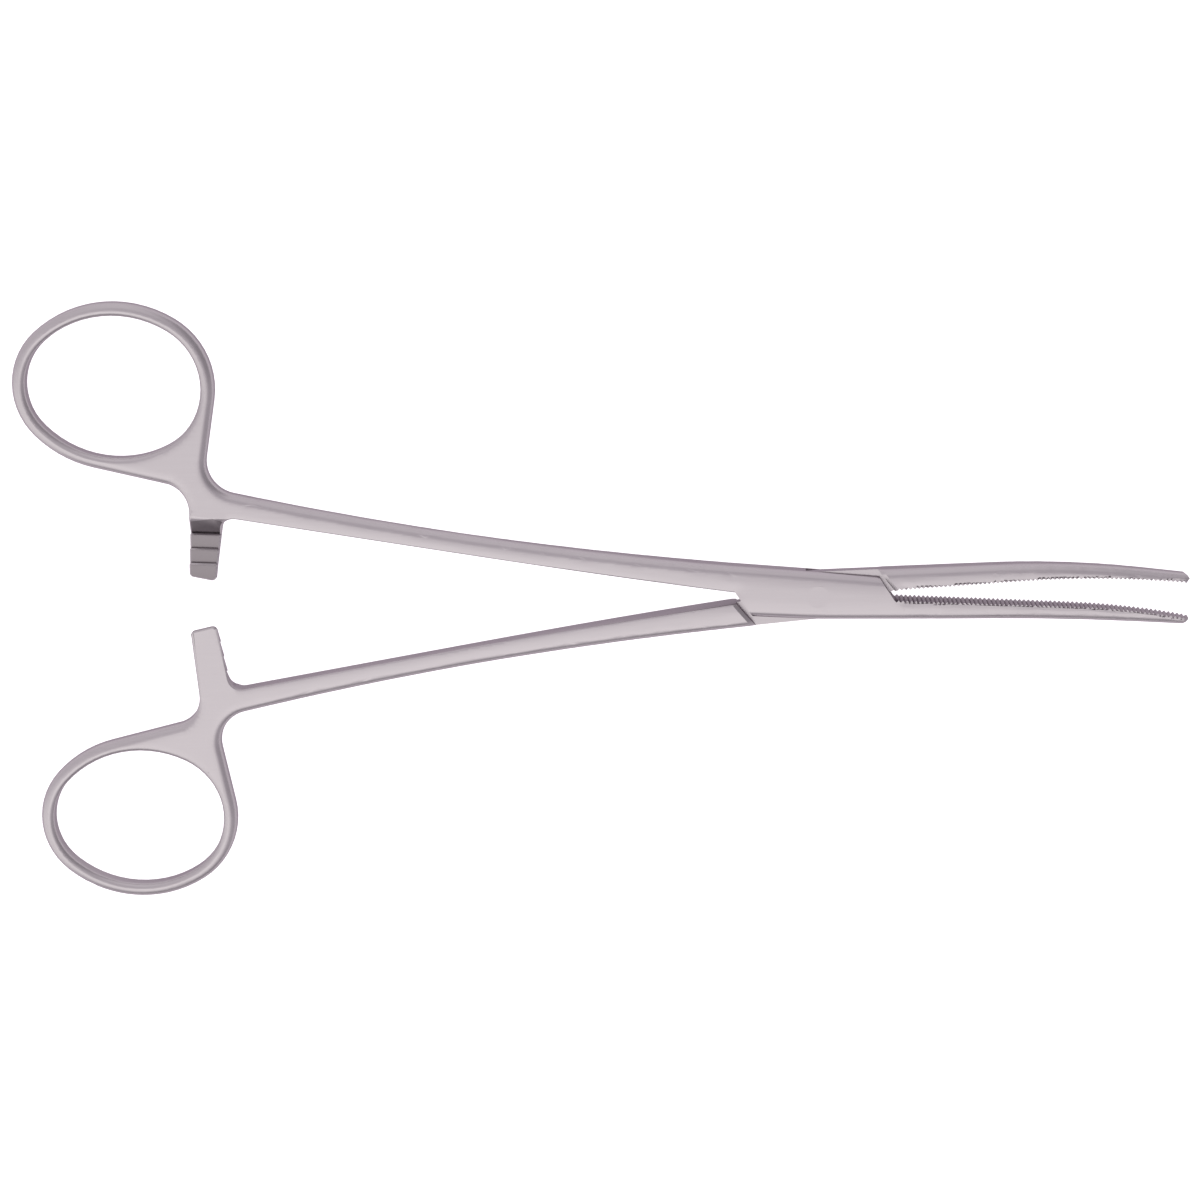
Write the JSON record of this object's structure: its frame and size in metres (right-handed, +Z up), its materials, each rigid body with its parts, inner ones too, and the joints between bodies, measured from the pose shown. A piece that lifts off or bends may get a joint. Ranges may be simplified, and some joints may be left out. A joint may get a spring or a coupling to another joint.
{
  "type": "surgical clamp",
  "caption": "Curved haemostatic clamp: finger-ring handles with ratchet arms cross at a flush riveted box lock and close a pair of fully serrated jaws.",
  "frame": {"origin": "where the pivot axis meets the plane that the underside of the box rests on", "axes": "+X along the clamp from the rings to the jaw tips, halfway between the two halves; +Y towards the ring of the box half; +Z up, along the pivot axis"},
  "size_m": [0.1979, 0.1044, 0.005],
  "materials": {
    "steel": "satin stainless steel"
  },
  "bodies": {
    "box_side": {"box_half": "steel", "pivot_pin": "steel"},
    "tongue_side": {"tongue_half": "steel"}
  },
  "joints": [
    {"name": "pivot", "type": "hinge", "parent": "box_side", "child": "tongue_side", "pos_m": [0, 0, 0], "axis": [0, 0, 1], "range_deg": [-5.43, 51]}
  ]
}
